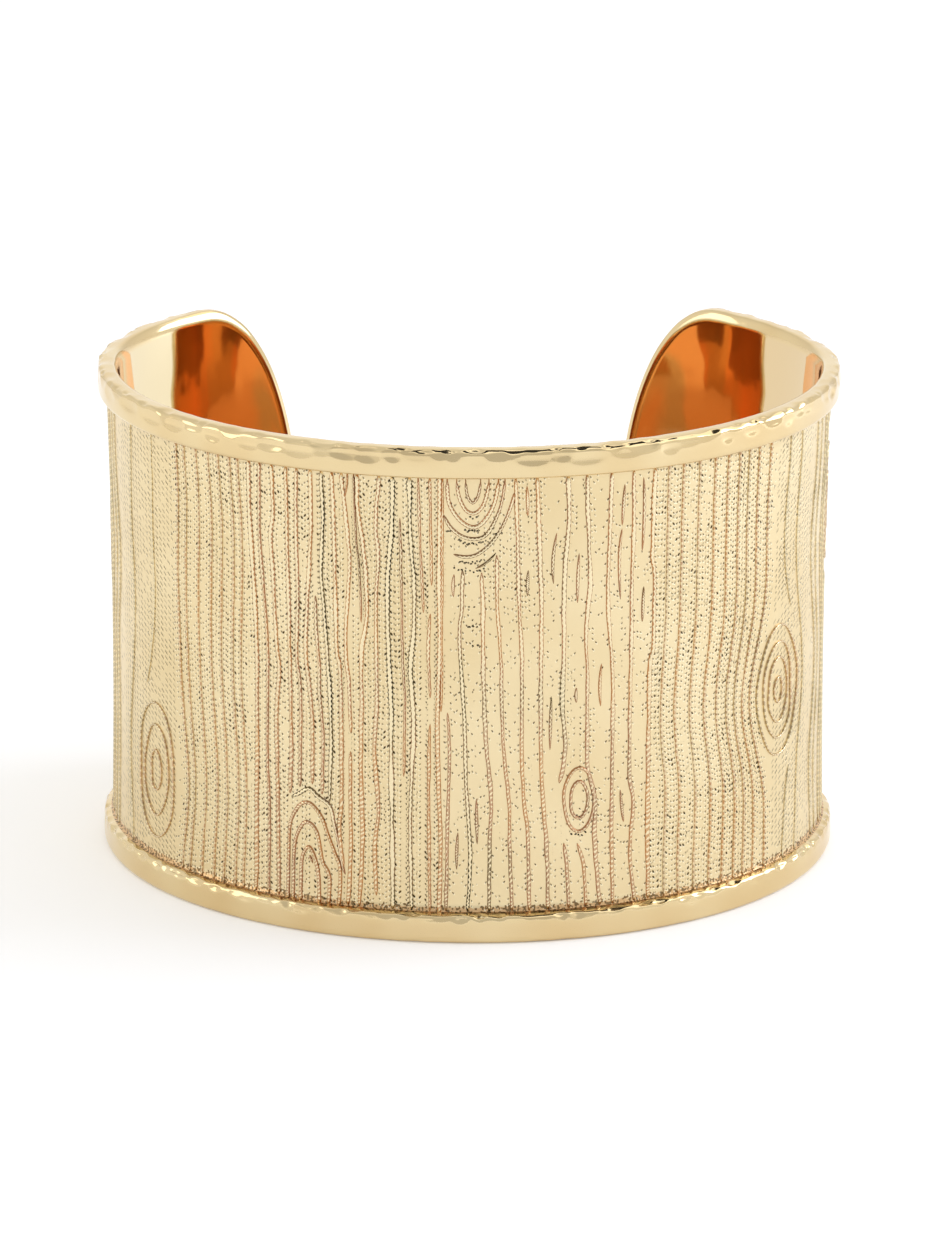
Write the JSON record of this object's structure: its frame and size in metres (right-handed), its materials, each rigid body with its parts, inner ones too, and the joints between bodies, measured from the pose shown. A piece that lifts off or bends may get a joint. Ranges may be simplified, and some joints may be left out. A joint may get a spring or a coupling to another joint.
{
  "type": "cuff bracelet",
  "caption": "Wide open cuff bracelet with rounded ends, a smooth raised border and a raised wood-grain band.",
  "frame": {"origin": "centre of the bounding box, on the plane of the lower edge that the cuff stands on", "axes": "+Z along the wrist from the lower edge to the upper edge, -Y towards the middle of the front, +Y towards the opening between the ends, +X across the oval's long way"},
  "size_m": [0.064, 0.0508, 0.043],
  "materials": {
    "gold": "polished gold plate on cast brass"
  },
  "bodies": {
    "root": {"cuff": "gold"}
  },
  "joints": []
}
